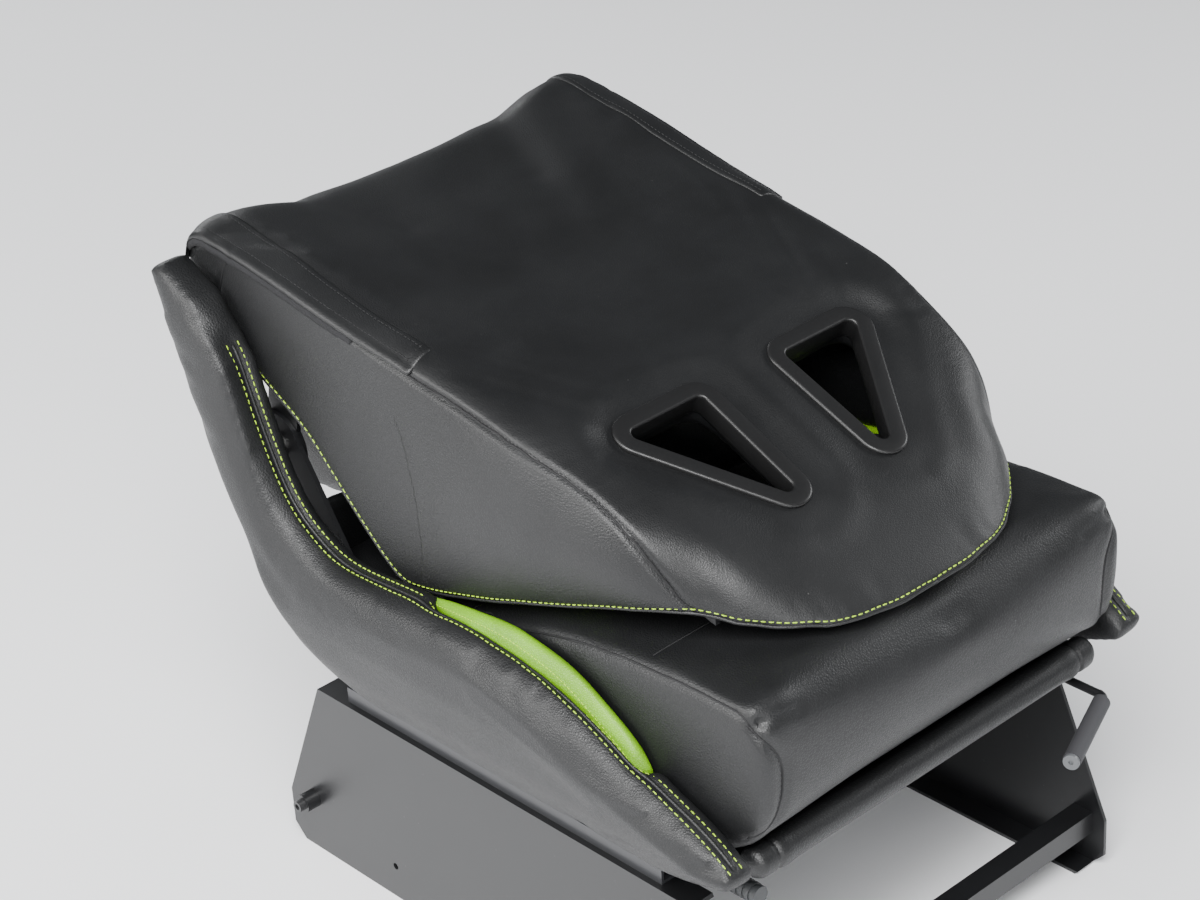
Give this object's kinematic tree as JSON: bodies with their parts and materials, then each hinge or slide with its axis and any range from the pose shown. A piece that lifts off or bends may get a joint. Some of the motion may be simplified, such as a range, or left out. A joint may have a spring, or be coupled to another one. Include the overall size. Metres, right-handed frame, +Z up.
{
  "type": "gaming chair",
  "caption": "Folding racing-style gaming seat with side bolsters and harness slots, on slide rails bolted to a low folded-steel stand.",
  "frame": {"origin": "on the floor, at the middle of the four floor-bolt holes in the side plates' flanges", "axes": "+Z up, +Y towards the seat's rear, +X towards the sitter's left; the sitter faces -Y"},
  "size_m": [0.504, 0.6675, 0.561],
  "materials": {
    "leather_black": "satin",
    "leather_lime": "satin",
    "frame_paint": "satin",
    "rail_coat": "satin",
    "black_bolt": "satin",
    "zinc": "satin",
    "nylon": "matte",
    "webbing": "matte",
    "bezel_plastic": "satin",
    "grip_rubber": "matte",
    "cap_plastic": "satin"
  },
  "bodies": {
    "base": {"left_side_plate": "frame_paint", "right_side_plate": "frame_paint", "front_cross_tube": "frame_paint", "rear_cross_tube": "frame_paint", "cross_tube_nuts": "zinc", "cross_tube_bolts": "black_bolt", "spacer_sleeves": "frame_paint", "left_lower_rail": "rail_coat", "right_lower_rail": "rail_coat", "rail_bolts": "black_bolt", "rail_nuts": "zinc"},
    "seat": {"left_upper_rail": "rail_coat", "right_upper_rail": "rail_coat", "left_rail_glides": "nylon", "right_rail_glides": "nylon", "seat_left_tube": "frame_paint", "seat_right_tube": "frame_paint", "seat_front_tube": "frame_paint", "seat_rear_tube": "frame_paint", "seat_pan_front": "frame_paint", "seat_webbing": "webbing", "frame_bolts": "black_bolt", "bolster_brackets": "frame_paint", "seat_cushion": "leather_black", "left_seat_bolster": "leather_black", "right_seat_bolster": "leather_black", "left_seat_insert": "leather_lime", "right_seat_insert": "leather_lime", "front_roll": "leather_black", "left_recliner_bracket": "frame_paint", "right_recliner_bracket": "frame_paint", "recliner_core": "zinc", "pivot_bolt": "zinc", "latch_pins": "zinc"},
    "backrest": {"left_recliner_arm": "frame_paint", "right_recliner_arm": "frame_paint", "left_back_member": "frame_paint", "right_back_member": "frame_paint", "lower_back_bar": "frame_paint", "upper_back_bar": "frame_paint", "head_bar": "frame_paint", "backrest_pad": "leather_black", "lumbar_roll": "leather_black", "left_back_bolster": "leather_black", "right_back_bolster": "leather_black", "left_back_insert": "leather_lime", "right_back_insert": "leather_lime", "left_harness_bezel": "bezel_plastic", "right_harness_bezel": "bezel_plastic", "left_closure_flap": "leather_black", "right_closure_flap": "leather_black"},
    "slide_lever": {"slide_lever_rod": "frame_paint", "slide_lever_grip": "grip_rubber", "slide_lever_cap": "cap_plastic"},
    "right_latch": {"right_latch_rod": "frame_paint", "right_latch_sleeve": "grip_rubber", "right_latch_cap": "cap_plastic"},
    "recline_lever": {"recline_lever": "bezel_plastic", "recline_lever_screw": "zinc"}
  },
  "joints": [
    {"name": "seat_slide", "type": "slide", "parent": "base", "child": "seat", "axis": [0, 1, 0], "range_m": [-0.1, 0.1]},
    {"name": "backrest_recline", "type": "hinge", "parent": "seat", "child": "backrest", "pos_m": [0, 0.25, 0.38], "axis": [-1, 0, 0], "range_deg": [0, 140]},
    {"name": "slide_lever_turn", "type": "hinge", "parent": "seat", "child": "slide_lever", "pos_m": [0.182, -0.16, 0.1895], "axis": [-1, 0, 0], "range_deg": [0, 5], "stiffness_Nm_per_rad": 8, "springref_deg": -5.73},
    {"name": "right_latch_turn", "type": "hinge", "parent": "seat", "child": "right_latch", "pos_m": [-0.182, -0.16, 0.1895], "axis": [-1, 0, 0], "range_deg": [0, 5]},
    {"name": "recline_lever_turn", "type": "hinge", "parent": "seat", "child": "recline_lever", "pos_m": [0.25, 0.25, 0.38], "axis": [-1, 0, 0], "range_deg": [0, 25], "stiffness_Nm_per_rad": 2, "springref_deg": -11.46}
  ],
  "couplings": [
    {"joint": "right_latch_turn", "follows": "slide_lever_turn", "ratio": 1}
  ]
}
